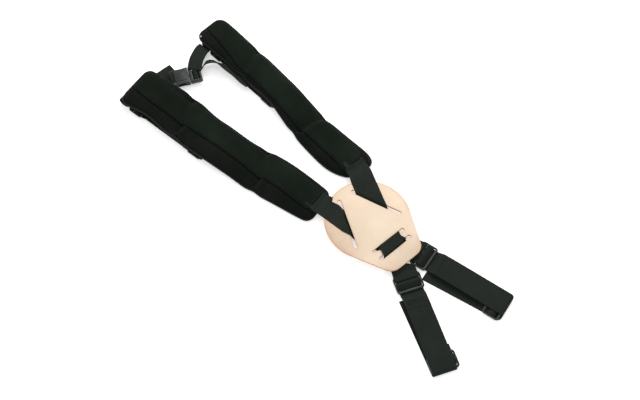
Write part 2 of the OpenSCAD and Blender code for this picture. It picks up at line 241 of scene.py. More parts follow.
def leather_material():
    """Undyed vegetable-tanned leather: warm, faintly mottled, with pores, darker towards worn edges, and with
    painted shade towards its left and lower side.
    """
    n = Nodes("yoke_leather")
    coords = object_coords(n)
    edge = n.attribute("edge").outputs["Fac"]
    mottle = n.noise(coords, 22.0, 5.0, 0.6)
    grain = n.noise(coords, 420.0, 4.0, 0.6)
    cells = n.node("ShaderNodeTexVoronoi", Scale=900.0)
    n.tree.links.new(coords, cells.inputs["Vector"])
    base = n.ramp(mottle, [(0.25, (0.74, 0.575, 0.42)), (0.5, (0.79, 0.635, 0.475)),
                           (0.78, (0.83, 0.685, 0.53))])
    base = n.mix(n.math("MULTIPLY", grain, 0.16), base, (0.62, 0.38, 0.24), "MULTIPLY")
    # painted shade: this mask from the yoke darkens the leather towards its left and lower side, where the
    # lamps reach it less
    painted_shade_fac = n.attribute("painted_shade").outputs["Fac"]
    base = n.mix(painted_shade_fac, base, (0.80, 0.76, 0.74), "MULTIPLY")
    colour = n.mix(edge, base, (0.50, 0.27, 0.16))
    rough = n.math("MULTIPLY_ADD", grain, 0.18, 0.42)
    normal = n.bump(mottle, 0.1, 0.003)
    normal = n.bump(grain, 0.18, 0.0004, normal)
    normal = n.bump(cells.outputs["Distance"], 0.12, 0.00025, normal)
    return n.finish(colour, rough, normal, Specular_IOR_Level=0.4, Subsurface_Weight=0.04)


def leather_edge_material():
    """Cut edge: fibrous and brown, lightly burnished."""
    n = Nodes("yoke_cut_edge")
    coords = object_coords(n)
    stretched = n.node("ShaderNodeMapping")
    n.tree.links.new(coords, stretched.inputs["Vector"])
    stretched.inputs["Scale"].default_value = (1, 1, 6)
    fibre = n.noise(stretched.outputs[0], 500.0, 4.0)
    colour = n.ramp(fibre, [(0.3, (0.33, 0.15, 0.085)), (0.7, (0.58, 0.33, 0.21))])
    return n.finish(colour, 0.6, n.bump(fibre, 0.4, 0.0003))


def plastic_material(name, colour, rough, light):
    """Moulded acetal: fine spark-eroded texture, with smoother rubbed patches."""
    n = Nodes(name)
    coords = object_coords(n)
    grain = n.noise(coords, 3200.0, 2.0)
    wear = n.noise(coords, 120.0, 4.0)
    tone = n.ramp(wear, [(0.35, colour), (0.8, light)])
    roughness = n.math("ADD", n.math("MULTIPLY_ADD", wear, -0.22, rough + 0.1),
                       n.math("MULTIPLY", grain, 0.06))
    return n.finish(tone, roughness, n.bump(grain, 0.22, 0.00008), Specular_IOR_Level=0.3)


def thread_material():
    """Bonded polyester thread: two plies twisted round each other."""
    n = Nodes("thread")
    coords = object_coords(n)
    twist = n.node("ShaderNodeTexWave", Scale=900.0, Distortion=1.5)
    n.tree.links.new(coords, twist.inputs["Vector"])
    colour = n.ramp(twist.outputs["Fac"], [(0.2, (0.004, 0.005, 0.0045)), (0.8, (0.018, 0.022, 0.019))])
    return n.finish(colour, 0.55, n.bump(twist.outputs["Fac"], 0.4, 0.0002), Specular_IOR_Level=0.2)


WEB = webbing_material("webbing", (0.0085, 0.0125, 0.0088), (0.030, 0.040, 0.030))
CHEST_WEB = webbing_material("chest_webbing", (0.008, 0.0115, 0.0085), (0.028, 0.037, 0.028), 1.25 * MM,
                             1.4 * MM)
KNIT = knit_material("pad_knit", (0.0045, 0.0056, 0.0046), (0.0135, 0.0160, 0.0135), sheen=0.02)
STRIP = knit_material("pad_strip_knit", (0.0052, 0.0085, 0.0054), (0.0165, 0.0240, 0.0165), 0.9 * MM, 0.015)
LINING = knit_material("pad_lining_brushed", (0.007, 0.0085, 0.0075), (0.02, 0.023, 0.021), 1.4 * MM, 0.05)
BINDING = webbing_material("pad_binding", (0.006, 0.009, 0.0065), (0.022, 0.029, 0.022), 0.9 * MM, 1.1 * MM)
LEATHER = leather_material()
LEATHER_EDGE = leather_edge_material()
PLASTIC = plastic_material("slider_plastic", (0.012, 0.016, 0.014), 0.38, (0.036, 0.045, 0.040))
BUCKLE = plastic_material("buckle_plastic", (0.007, 0.010, 0.008), 0.40, (0.018, 0.024, 0.020))
THREAD = thread_material()


# ------------------------------------------------------------------ mesh helpers
def make_object(name, verts, faces, materials, body=ROOT, smooth=True, weave=None):
    """A mesh piece from row frame points, riding on a body."""
    mesh = bpy.data.meshes.new(name)
    mesh.from_pydata([tuple(v) for v in verts], [], faces)
    mesh.validate()
    if weave is not None:
        layer = mesh.attributes.new("weave", "FLOAT_VECTOR", "POINT")
        layer.data.foreach_set("vector", np.asarray(weave, np.float32).ravel())
    obj = bpy.data.objects.new(name, mesh)
    bpy.context.scene.collection.objects.link(obj)
    for m in materials if isinstance(materials, (list, tuple)) else [materials]:
        mesh.materials.append(m)
    if smooth:
        mesh.shade_smooth()
    bm = bmesh.new()
    bm.from_mesh(mesh)
    bmesh.ops.recalc_face_normals(bm, faces=bm.faces)
    bm.to_mesh(mesh)
    bm.free()
    if body:
        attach(obj, body)
    return obj


def paint(mesh, name, values):
    """Stores one number a vertex, which a material reads by name."""
    layer = mesh.attributes.new(name, "FLOAT", "POINT")
    layer.data.foreach_set("value", np.asarray(values, np.float32))


def thicken(grid, thickness, edge=1.0):
    """Closes a sheet of points [rows][across] into a solid tape with rounded selvedges.
    Returns vertices, faces and the (across, along) place of each vertex, in metres of tape."""
    grid = np.asarray(grid, float)
    rows, cols = grid.shape[:2]
    du = np.gradient(grid, axis=1)
    ds = np.gradient(grid, axis=0)
    normal = np.cross(ds, du)
    length = np.linalg.norm(normal, axis=2, keepdims=True)
    normal = normal / np.where(length < 1e-12, 1, length)
    across = np.linalg.norm(np.diff(grid, axis=1), axis=2)
    u = np.concatenate([np.zeros((rows, 1)), np.cumsum(across, axis=1)], axis=1)
    u = u - u[:, -1:] / 2
    along = np.linalg.norm(np.diff(grid, axis=0), axis=2).mean(axis=1)
    s = np.concatenate([[0], np.cumsum(along)])
    s = np.repeat(s[:, None], cols, axis=1)
    half = u[:, -1:].copy()
    inset = np.clip((half - np.abs(u)) / (edge * thickness), 0, 1)
    t = thickness / 2 * np.sqrt(np.clip(1 - (1 - inset) ** 2, 0.03, 1))
    top = grid + normal * t[..., None]
    bottom = grid - normal * t[..., None]
    n = rows * cols
    verts = np.concatenate([top.reshape(-1, 3), bottom.reshape(-1, 3)])
    weave = np.stack([u, s, np.zeros_like(u)], axis=-1).reshape(-1, 3)
    weave = np.concatenate([weave, weave])
    faces = []
    for i in range(rows - 1):
        for j in range(cols - 1):
            a, b, c, d = i * cols + j, i * cols + j + 1, (i + 1) * cols + j + 1, (i + 1) * cols + j
            faces.append((a, b, c, d))
            faces.append((n + d, n + c, n + b, n + a))
    for i in range(rows - 1):
        for j in (0, cols - 1):
            a, d = i * cols + j, (i + 1) * cols + j
            faces.append((a, d, n + d, n + a))
    for i in (0, rows - 1):
        for j in range(cols - 1):
            a, b = i * cols + j, i * cols + j + 1
            faces.append((a, b, n + b, n + a))
    return verts, faces, weave


# Places across a tape, closer together at the selvedges
ACROSS = np.array([-1, -0.985, -0.95, -0.9, -0.8, -0.6, -0.4, -0.2, 0, 0.2, 0.4, 0.6, 0.8, 0.9, 0.95, 0.985,
                   1])


def refill(rows, step):
    """Adds rows so that no two neighbouring rows are more than a step apart."""
    out = [rows[0]]
    for a, b in zip(rows[:-1], rows[1:]):
        gap = np.linalg.norm(np.asarray(b) - np.asarray(a), axis=-1).max()
        count = max(1, int(math.ceil(gap / step)))
        out += [np.asarray(a) + (np.asarray(b) - np.asarray(a)) * k / count for k in range(1, count + 1)]
    return np.array(out)


def soften(rows, passes=1):
    """Averages each row with its neighbours, ends kept."""
    rows = np.array(rows, float)
    for _ in range(passes):
        rows[1:-1] = (rows[:-2] + 2 * rows[1:-1] + rows[2:]) / 4
    return rows


def tape_from_edges(name, edges, material, body, thickness=WEB_T, step=1.6, passes=3, waver=0.18):
    """A webbing piece from [left point, right point] rows in drawing millimetres."""
    rows = soften(refill(np.array(edges, float), step), passes)
    share = (ACROSS + 1) / 2
    grid = rows[:, :1] + (rows[:, 1:] - rows[:, :1]) * share[None, :, None]
    s = np.linspace(0, 1, len(rows))[:, None]
    phase = rng.uniform(0, 6.28, 3)
    ripple = np.sin(s * 9 + phase[0]) * ACROSS[None, :]
    ripple += 0.6 * np.sin(s * 17 + phase[1] + ACROSS[None, :] * 1.7)
    fade = np.minimum(1, np.minimum(s, 1 - s) * 8)
    grid[..., 2] += ripple * waver * fade
    verts, faces, weave = thicken(to_row(grid), thickness * MM)
    return make_object(name, verts, faces, material, body, weave=weave)


def curve_plate(name, outlines, thickness, round_r, z_mid, material, body, resolution=3, place=None):
    """A flat moulded piece from closed outlines (holes included), with rounded edges.
    place carries the flat drawing into drawing millimetres."""
    curve = bpy.data.curves.new(name + "_outline", "CURVE")
    curve.dimensions = "2D"
    curve.fill_mode = "BOTH"
    curve.extrude = (thickness / 2 - round_r) * MM
    curve.bevel_depth = round_r * MM
    curve.bevel_resolution = resolution
    curve.offset = -round_r * MM
    for points in outlines:
        spline = curve.splines.new("POLY")
        spline.points.add(len(points) - 1)
        for target, (x, y) in zip(spline.points, points):
            target.co = (x * MM, y * MM, 0, 1)
        spline.use_cyclic_u = True
    temp = bpy.data.objects.new(name + "_temp", curve)
    bpy.context.scene.collection.objects.link(temp)
    bpy.context.view_layer.update()
    mesh = bpy.data.meshes.new_from_object(temp.evaluated_get(bpy.context.evaluated_depsgraph_get()))
    bpy.data.objects.remove(temp)
    co = np.array([v.co for v in mesh.vertices]) / MM
    co[:, 2] += z_mid
    if place is not None:
        co = place(co)
    co = to_row(co)
    for v, c in zip(mesh.vertices, co):
        v.co = c
    bm = bmesh.new()
    bm.from_mesh(mesh)
    bmesh.ops.remove_doubles(bm, verts=bm.verts, dist=1e-6)
    bmesh.ops.dissolve_degenerate(bm, edges=bm.edges, dist=1e-7)
    bmesh.ops.recalc_face_normals(bm, faces=bm.faces)
    bm.to_mesh(mesh)
    bm.free()
    mesh.name = name
    mesh.materials.clear()
    for m in material if isinstance(material, (list, tuple)) else [material]:
        mesh.materials.append(m)
    obj = bpy.data.objects.new(name, mesh)
    bpy.context.scene.collection.objects.link(obj)
    mesh.shade_smooth()
    if body:
        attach(obj, body)
    return obj


def arc(centre, r, a0, a1, count):
    a = np.radians(np.linspace(a0, a1, count + 1))
    return [(centre[0] + r * math.cos(t), centre[1] + r * math.sin(t)) for t in a]


def rounded_rect(l, w, r, centre=(0, 0), count=6):
    x, y = l / 2 - r, w / 2 - r
    points = []
    for sx, sy, a in ((1, 1, 0), (-1, 1, 90), (-1, -1, 180), (1, -1, 270)):
        points += arc((centre[0] + sx * x, centre[1] + sy * y), r, a, a + 90, count)
    return points


def strap_place(key):
    """Carries (along, across, up) beside a slider into drawing millimetres."""
    at, yaw = HARDWARE[key]
    a = math.radians(yaw)
    d, e = np.array([math.sin(a), -math.cos(a)]), np.array([math.cos(a), math.sin(a)])

    def place(p):
        p = np.atleast_2d(np.asarray(p, float))
        xy = at + p[:, :1] * d + p[:, 1:2] * e
        return np.concatenate([xy, p[:, 2:3]], axis=1)

    return place


def tape_rows(key, side_view, w=WEB_W):
    """Rows of a strap drawn as a side view (along, up) beside a slider."""
    place = strap_place(key)
    rows = []
    for x, z, *shift in side_view:
        u = shift[0] if shift else 0.0
        rows.append(place([(x, u - w / 2, z), (x, u + w / 2, z)]))
    return rows


def round_line(points, r, count=4):
    """Rounds the corners of a side view."""
    points = [np.array(p, float) for p in points]
    out = [points[0]]
    for a, b, c in zip(points[:-2], points[1:-1], points[2:]):
        ra = min(r, np.linalg.norm(a - b) * 0.48)
        rc = min(r, np.linalg.norm(c - b) * 0.48)
        p, q = b + unit(a - b) * ra, b + unit(c - b) * rc
        for k in range(count + 1):
            t = k / count
            out.append((1 - t) ** 2 * p + 2 * t * (1 - t) * b + t * t * q)
    out.append(points[-1])
    return out


def stitches(name, runs, body, radius=0.36, length=3.1, pitch=4.2, lift=0.12):
    """Rows of thread: each run is a list of (point, normal) in drawing millimetres."""
    verts, faces = [], []
    for run in runs:
        pts = np.array([p for p, _ in run], float)
        nrm = np.array([n for _, n in run], float)
        seg = np.linalg.norm(np.diff(pts, axis=0), axis=1)
        s = np.concatenate([[0], np.cumsum(seg)])
        at = 0.6
        while at + length < s[-1]:
            lo = np.array([np.interp(at, s, pts[:, k]) for k in range(3)])
            hi = np.array([np.interp(at + length, s, pts[:, k]) for k in range(3)])
            up = unit([np.interp(at + length / 2, s, nrm[:, k]) for k in range(3)])
            d = unit(hi - lo)
            side = unit(np.cross(up, d))
            base = len(verts)
            for share, size, rise in ((0, 0.35, -0.35), (0.14, 0.9, 0.0), (0.5, 1.0, lift),
                                      (0.86, 0.9, 0.0), (1, 0.35, -0.35)):
                c = lo + (hi - lo) * share + up * (rise + radius * 0.35)
                for k in range(6):
                    a = 2 * math.pi * k / 6
                    verts.append(c + (side * math.cos(a) + up * math.sin(a) * 0.8) * radius * size)
            for r in range(4):
                for k in range(6):
                    a, b = base + r * 6 + k, base + r * 6 + (k + 1) % 6
                    faces.append((a, b, b + 6, a + 6))
            faces.append(tuple(base + k for k in range(5, -1, -1)))
            faces.append(tuple(base + 24 + k for k in range(6)))
            at += pitch
    return make_object(name, to_row(verts), faces, THREAD, body)


# ------------------------------------------------------------------ camera, floor, light
AIM = to_row([-31.0, 92.5, 0.0])
AZIMUTH, ELEVATION, DISTANCE = math.radians(-39.8), math.radians(62.0), 1.426
back = Vector((math.sin(AZIMUTH) * math.cos(ELEVATION), -math.cos(AZIMUTH) * math.cos(ELEVATION),
               math.sin(ELEVATION)))
cam_data = bpy.data.cameras.new("camera")
cam_data.lens = 50
cam_data.sensor_width = 36
camera = bpy.data.objects.new("camera", cam_data)
bpy.context.scene.collection.objects.link(camera)
camera.location = Vector(AIM) + back * DISTANCE
camera.rotation_euler = (-back).to_track_quat("-Z", "Y").to_euler()
bpy.context.scene.camera = camera


def floor_material():
    n = Nodes("studio_floor")
    coords = object_coords(n)
    tone = n.ramp(n.noise(coords, 3.0), [(0.3, (0.90, 0.90, 0.90)), (0.7, (0.92, 0.92, 0.92))])
    n.put(tone, n.bsdf.inputs["Emission Color"])
    return n.finish(tone, 0.9, Specular_IOR_Level=0.1, Emission_Strength=0.5)


bpy.ops.mesh.primitive_plane_add(size=12, location=(0, 0, -0.0002))
floor = bpy.context.object
floor.name = "studio_floor"
floor.data.materials.append(floor_material())

world = bpy.data.worlds.new("studio")
bpy.context.scene.world = world
world.use_nodes = True
world.node_tree.nodes["Background"].inputs[0].default_value = (1, 1, 1, 1)
world.node_tree.nodes["Background"].inputs[1].default_value = 0.56
bpy.context.scene.view_settings.view_transform = "Standard"


def area_light(name, location, target, size, power):
    data = bpy.data.lights.new(name, "AREA")
    data.shape = "RECTANGLE"
    data.size, data.size_y = size
    data.energy = power
    light = bpy.data.objects.new(name, data)
    bpy.context.scene.collection.objects.link(light)
    light.location = location
    light.rotation_euler = (Vector(target) - Vector(location)).to_track_quat("-Z", "Y").to_euler()


area_light("key_light", (1.0, 0.9, 1.3), (0, -0.05, 0), (0.8, 0.6), 21)
area_light("fill_light", (-1.4, -0.8, 1.5), (0, 0, 0), (1.6, 1.2), 7)
area_light("top_light", (0.1, 0.3, 2.2), (0, 0, 0), (1.6, 1.6), 9)


# ------------------------------------------------------------------ leather yoke
def yoke():
    corner, corner_r, top, top_r = np.array([18.0, -61.5]), 20.0, np.array([0.0, 13.0]), 68.6
    d = corner - top
    tilt = math.degrees(math.atan2(d[1], d[0]))
    tilt += math.degrees(math.acos((top_r - corner_r) / np.linalg.norm(d)))
    right = arc(corner, corner_r, -90, tilt, 20) + arc(top, top_r, tilt, 90, 60)
    outline = right + [(-x, y) for x, y in right[-2::-1]]

    def slot(a, b, w):
        turn = math.degrees(math.atan2(b[1] - a[1], b[0] - a[0]))
        return arc(a, w / 2, turn + 90, turn + 270, 14) + arc(b, w / 2, turn - 90, turn + 90, 14)

    slots = [slot((s * 14.5, 64.5), (s * 45.5, -11.0), 5.5) for s in (-1, 1)]
    slots += [slot((-29.0, y), (29.0, y), 5.0) for y in (-36.0, -51.5)]
    obj = curve_plate("yoke", [outline, *slots], PLATE_Z1 - PLATE_Z0, 0.7, (PLATE_Z0 + PLATE_Z1) / 2,
                      [LEATHER, LEATHER_EDGE], None)
    mesh = obj.data
    # cut the broad faces into small cells, so that the sheet can bow and its edge can darken
    bm = bmesh.new()
    bm.from_mesh(mesh)
    lo, hi = (to_row([-70, -84, 0]), to_row([70, 84, 0]))
    for axis, step in ((0, 4 * MM), (1, 4 * MM)):
        normal = (1, 0, 0) if axis == 0 else (0, 1, 0)
        at = lo[axis]
        while at < hi[axis]:
            point = (at, 0, 0) if axis == 0 else (0, at, 0)
            bmesh.ops.bisect_plane(bm, geom=bm.verts[:] + bm.edges[:] + bm.faces[:], plane_co=point,
                                   plane_no=normal, dist=1e-6)
            at += step
    bmesh.ops.triangulate(bm, faces=[f for f in bm.faces if len(f.verts) > 4])
    bm.to_mesh(mesh)
    bm.free()
    co = np.array([v.co for v in mesh.vertices]) / MM - BASE
    ring = np.array(outline)
    rim = np.sqrt(((co[:, None, :2] - ring[None]) ** 2).sum(2)).min(1)
    # long slot sides need points between their rounded ends
    dense = []
    for s in slots:
        loop = np.array(s + s[:1])
        for a, b in zip(loop[:-1], loop[1:]):
            count = max(1, int(np.linalg.norm(b - a) / 1.5))
            dense += [a + (b - a) * k / count for k in range(count)]
    hole = np.sqrt(((co[:, None, :2] - np.array(dense)[None]) ** 2).sum(2)).min(1)
    edge = np.maximum(0.62 * np.exp(-rim / 1.8), 0.55 * np.exp(-hole / 0.9))
    side = (co[:, 2] < PLATE_Z1 - 0.6)
    edge = np.clip(np.where(side, 0.75, edge), 0, 1)
    # the sheet bows up a little at its upper left and lower edges, and pulls up where the straps bear
    r2 = (co[:, 0] / 68) ** 2 + ((co[:, 1] - 5) / 80) ** 2
    lift = 2.6 * r2 * (0.5 - 0.5 * np.sin(np.arctan2(co[:, 1], co[:, 0]) * 2 + 0.4))
    bridge = np.exp(-((co[:, 1] + 43.75) / 5.5) ** 2) * smoothstep(30, 20, np.abs(co[:, 0])) * 0.15
    co[:, 2] += lift * 0.6 - bridge
    for v, c in zip(mesh.vertices, to_row(co)):
        v.co = c
    paint(mesh, "edge", edge)
    # painted shade: the leather is darkened towards the left, the lower edge and the lower left rim, as the
    # bowed sheet turns from the light
    painted_shade = 0.75 * smoothstep(15, -62, co[:, 0]) * smoothstep(-70, 20, co[:, 1])
    painted_shade += 0.8 * smoothstep(-42, -84, co[:, 1])
    painted_shade += 0.35 * np.exp(-rim / 9.0) * smoothstep(30, -30, co[:, 0] - co[:, 1])
    paint(mesh, "painted_shade", np.clip(painted_shade, 0, 1))
    for p in mesh.polygons:
        p.material_index = 1 if abs(p.normal.z) < 0.35 else 0
        p.use_smooth = True
    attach(obj, ROOT)
    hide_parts("yoke_plate")
    return obj


yoke()


# ------------------------------------------------------------------ shoulder pads
# [x, y, height of the underside, thickness, half width left, half width right, seam from the middle]
PADS = {
    "left": [
        (-44.5, 78.5, 0.9, 12.0, 25, 28, -15), (-47.5, 91, 0.7, 15.5, 30, 34.5, -14),
        (-60, 150, 0.7, 18.0, 37.5, 37.5, -13.3), (-72, 190, 1.3, 15.2, 39, 38.5, -12.4),
        (-84, 230, 4.2, 16.2, 36.5, 35, -9.2), (-96, 276, 11.2, 12.6, 37.8, 35, -8.6),
        (-103, 312, 12.0, 12.4, 40, 34, -10.8), (-109, 345, 12.8, 12.4, 40.5, 37.5, -13.5),
        (-115, 370, 14.4, 13.8, 38.6, 39, -14), (-120, 391, 15.6, 14.2, 35.8, 38.4, -14),
        (-125, 412, 16.4, 14.4, 36.2, 37.8, -13.5), (-131, 444, 16.4, 13, 42.2, 36, -12.5),
        (-134.5, 457, 16.4, 9.6, 38, 34, -12),
    ],
    "right": [
        (47, 91, 0.9, 12.0, 21, 29, -21), (48.5, 103, 0.7, 15.5, 25, 33.5, -20.5),
        (46.4, 124, 0.7, 17.0, 31.5, 34, -16.7), (44, 150, 0.7, 17.4, 33, 33.5, -15.4),
        (42.5, 205, 1.3, 15, 31, 30.5, -16.5), (44, 240, 5.0, 15.2, 29, 28.5, -18.3),
        (45, 276, 11.2, 12.4, 26.4, 27.2, -19), (44.7, 303, 11.8, 12.4, 25.8, 27, -19.2),
        (44, 330, 12.4, 12.4, 28, 27, -19.7), (41.5, 370, 14.4, 13, 30, 27.6, -20.5),
        (39.5, 395, 15.6, 13.6, 29, 27.4, -17.4), (37.5, 420, 16.4, 13.8, 30, 28, -13.7),
        (35, 460, 16.4, 13, 30.4, 28, -9.5), (33.5, 475, 16.4, 9.2, 27, 24, -7),
    ],
}
# (distance along the pad, slant, depth, sharpness) of each crease
CREASES = {
    "left": [(118, 0.28, 8.4, 6.0), (279, 0.32, 8.6, 6.5)],
    "right": [(117, -0.28, 7.6, 6.0), (276, 0.22, 7.4, 6.5)],
}


def catmull(points, n):
    p = np.array(points, float)
    out = []
    for i in range(len(p) - 1):
        a, b, c, d = p[max(i - 1, 0)], p[i], p[i + 1], p[min(i + 2, len(p) - 1)]
        for k in range(n):
            t = k / n
            out.append(0.5 * (2 * b + (c - a) * t + (2 * a - 5 * b + 4 * c - d) * t * t
                              + (3 * b - a - 3 * c + d) * t ** 3))
    out.append(p[-1])
    return np.array(out)


class PadPath:
    """A pad's middle line, with its widths and heights along it."""

    def __init__(self, side):
        self.rings = catmull(PADS[side], 10)
        xy = self.rings[:, :2]
        t = np.gradient(xy, axis=0)
        self.t = t / np.linalg.norm(t, axis=1, keepdims=True)
        self.e = np.stack([self.t[:, 1], -self.t[:, 0]], axis=1)
        self.s = np.concatenate([[0], np.cumsum(np.linalg.norm(np.diff(xy, axis=0), axis=1))])
        self.length = self.s[-1]
        # the outline is drawn in where the foam folds
        for at, slant, _, wide in CREASES[side]:
            for column, sign in ((4, -1), (5, 1)):
                x = self.s - at - slant * sign * self.rings[:, column]
                self.rings[:, column] -= 2.6 * np.exp(-(x / (wide * 1.5)) ** 2)

    def at(self, s):
        r = np.array([np.interp(s, self.s, self.rings[:, k]) for k in range(self.rings.shape[1])])
        e = unit([np.interp(s, self.s, self.e[:, k]) for k in range(2)])
        return r, e

    def coords(self, p):
        """(along, across) of drawing points."""
        out = np.zeros((len(p), 2))
        for i0 in range(0, len(p), 4000):
            q = p[i0:i0 + 4000, :2]
            i = ((q[:, None] - self.rings[None, :, :2]) ** 2).sum(2).argmin(1)
            rel = q - self.rings[i, :2]
            out[i0:i0 + 4000, 0] = self.s[i] + (rel * self.t[i]).sum(1)
            out[i0:i0 + 4000, 1] = (rel * self.e[i]).sum(1)
        return out


# Half a pad's outline seen from its end: (share across, share up), from the left edge over the top
TOP_LINE = [(-1.0, 0.22), (-0.97, 0.40), (-0.86, 0.60), (-0.68, 0.76), (-0.48, 0.87), (-0.28, 0.93),
            (0.0, 0.98), (0.3, 1.0),
            (0.55, 1.0), (0.74, 0.94), (0.88, 0.76), (0.97, 0.50), (1.0, 0.24)]


def pad_form(path):
    """Closed mesh of a pad before it is puffed, in drawing millimetres."""
    top = catmull(TOP_LINE, 3)
    under = np.array([(0.94, 0.03), (0.7, 0.0), (0.35, 0.0), (0, 0.0), (-0.35, 0.0), (-0.7, 0.0),
                      (-0.94, 0.03)])
    section = np.concatenate([top, under])
    verts = []
    for i in range(len(path.rings)):
        x, y, z, h, wl, wr, _ = path.rings[i]
        s = path.s[i]
        end = min(s, path.length - s)
        close = math.sqrt(max(0.0, 1 - max(0.0, 1 - end / 9.0) ** 2)) * 0.45 + 0.55
        for u, v in section:
            w = wl if u < 0 else wr
            a = u * w * (1 - 0.16 * max(0.0, 1 - end / 16.0) ** 2)
            verts.append((x + path.e[i][0] * a, y + path.e[i][1] * a, z + (0.5 + (v - 0.5) * close) * h))
    n, m = len(section), len(path.rings)
    faces = [(i * n + j, i * n + (j + 1) % n, (i + 1) * n + (j + 1) % n, (i + 1) * n + j)
             for i in range(m - 1) for j in range(n)]
    faces += [tuple(range(n - 1, -1, -1)), tuple((m - 1) * n + j for j in range(n))]
    return np.array(verts), faces


def puff(obj, pins, cap, frames=20):
    """Blows the piece up with cloth pressure, pinned where it is sewn, and applies the result."""
    before = np.array([v.co for v in obj.data.vertices])
    group = obj.vertex_groups.new(name="sewn")
    for weight in (1.0, 0.6, 0.3):
        chosen = [int(i) for i in np.nonzero(np.isclose(pins, weight))[0]]
        if chosen:
            group.add(chosen, weight, "REPLACE")
    mod = obj.modifiers.new("cloth", "CLOTH")
    mod.settings.quality = 6
    mod.settings.mass = 0.3
    mod.settings.tension_stiffness = 18
    mod.settings.compression_stiffness = 18
    mod.settings.bending_stiffness = 2.0
    mod.settings.use_pressure = True
    mod.settings.uniform_pressure_force = 4
    mod.settings.vertex_group_mass = "sewn"
    mod.settings.effector_weights.gravity = 0
    mod.point_cache.frame_start, mod.point_cache.frame_end = 1, frames
    for f in range(1, frames + 1):
        bpy.context.scene.frame_set(f)
    evaluated = obj.evaluated_get(bpy.context.evaluated_depsgraph_get())
    after = np.array([v.co for v in evaluated.data.vertices])
    obj.modifiers.remove(mod)
    move = after - before
    size = np.linalg.norm(move, axis=1, keepdims=True)
    move *= np.minimum(1, cap * MM / np.maximum(size, 1e-12))
    for v, c in zip(obj.data.vertices, before + move):
        v.co = c
    bpy.context.scene.frame_set(1)


def apply_modifier(obj, kind, **settings):
    mod = obj.modifiers.new(kind.lower(), kind)
    for key, value in settings.items():
        setattr(mod, key, value)
    bpy.context.view_layer.objects.active = obj
    mesh = bpy.data.meshes.new_from_object(obj.evaluated_get(bpy.context.evaluated_depsgraph_get()))
    obj.modifiers.clear()
    old = obj.data
    obj.data = mesh
    bpy.data.meshes.remove(old)


def pad(side):
    path = PadPath(side)
    verts, faces = pad_form(path)
    obj = make_object(side + "_pad", to_row(verts), faces, KNIT, None)
    apply_modifier(obj, "REMESH", mode="VOXEL", voxel_size=4.2 * MM)
    co = np.array([v.co for v in obj.data.vertices]) / MM - BASE
    su = path.coords(co)
    ring = np.array([path.at(s)[0] for s in su[:, 0]])
    share = np.abs(su[:, 1]) / np.where(su[:, 1] < 0, ring[:, 4], ring[:, 5])
    low = co[:, 2] < ring[:, 2] + ring[:, 3] * 0.3
    pins = np.zeros(len(co))
    pins[np.abs(su[:, 1] - ring[:, 6]) < 2.6] = 0.6
    for at, slant, _, _ in CREASES[side]:
        pins[np.abs(su[:, 0] - at - slant * su[:, 1]) < 3.0] = 0.6
    pins[(share > 0.93) | low] = 1.0
    pins[(su[:, 0] < 4) | (su[:, 0] > path.length - 4)] = 1.0
    puff(obj, pins, 2.6)
    obj.vertex_groups.clear()
    apply_modifier(obj, "SUBSURF", levels=2, render_levels=2)
    co = np.array([v.co for v in obj.data.vertices]) / MM - BASE
    su = path.coords(co)
    z0 = np.interp(su[:, 0], path.s, path.rings[:, 2])
    h = np.interp(su[:, 0], path.s, path.rings[:, 3])
    seam = np.interp(su[:, 0], path.s, path.rings[:, 6])
    share_up = np.clip((co[:, 2] - z0) / h, 0, 1)
    topness = smoothstep(0.35, 0.9, share_up)
    # the sewn seam pulls the margin down beside the strip
    groove = np.exp(-((su[:, 1] - seam + 2.2) / 2.0) ** 2) * 1.5
    drop = groove * topness
    # creases where the foam folds: steep on the near side, easing out on the far side
    for at, slant, depth, wide in CREASES[side]:
        x = su[:, 0] - at - slant * su[:, 1] - 2.5 * np.sin(su[:, 1] / 9.0)
        shape = np.where(x < 0, np.exp(-(x / (wide * 0.75)) ** 2), np.exp(-np.abs(x) / (wide * 2.6)))
        lip = 0.28 * np.exp(-((x + wide * 1.9) / (wide * 0.9)) ** 2)
        drop = drop + depth * (shape - lip) * topness
    # soft puckers along the seam and gentle unevenness over the foam
    wave = np.sin(su[:, 0] * 2 * math.pi / 8.5 + np.sin(su[:, 0] / 21))
    pucker = 0.22 * wave * np.exp(-((su[:, 1] - seam + 4) / 5.0) ** 2)
    dents = 0.45 * np.sin(su[:, 0] / 17.0 + 1.3 + su[:, 1] / 23.0) * np.sin(su[:, 1] / 11.0 + 0.6)
    co[:, 2] += (pucker + dents) * topness - drop
    obj.data.vertices.foreach_set("co", to_row(co).astype(np.float32).ravel())
    obj.data.update()
    obj.data.materials.clear()
    obj.data.materials.append(KNIT)
    obj.data.shade_smooth()
    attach(obj, ROOT)
    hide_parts(side + "_pad_cover", side + "_pad_foam")
    return obj, path


def surface_of(obj):
    return BVHTree.FromObject(obj, bpy.context.evaluated_depsgraph_get())


def height_on(tree, xy, default, down=True):
    """Height in millimetres of a surface above or below a drawing point."""
    p = to_row([xy[0], xy[1], 0.0])
    start = Vector((p[0], p[1], 0.2 if down else -0.05))
    hit = tree.ray_cast(start, Vector((0, 0, -1 if down else 1)))
    return default if hit[0] is None else hit[0].z / MM


pads, paths, tops = {}, {}, {}
for side in ("left", "right"):
    pads[side], paths[side] = pad(side)
    bpy.context.view_layer.update()
    tops[side] = surface_of(pads[side])

# the strip's width, the share of the pad's right half that it may reach, and its gaps at the pad's two ends
STRIP_W, STRIP_REACH = 41.0, 0.86
STRIP_FROM, STRIP_END = {"left": 9.0, "right": 12.0}, 7.0


def strip_width(ring, widest=STRIP_W):
    """How wide the strip is at one ring of the pad's path."""
    return min(widest, ring[5] * STRIP_REACH - ring[6])


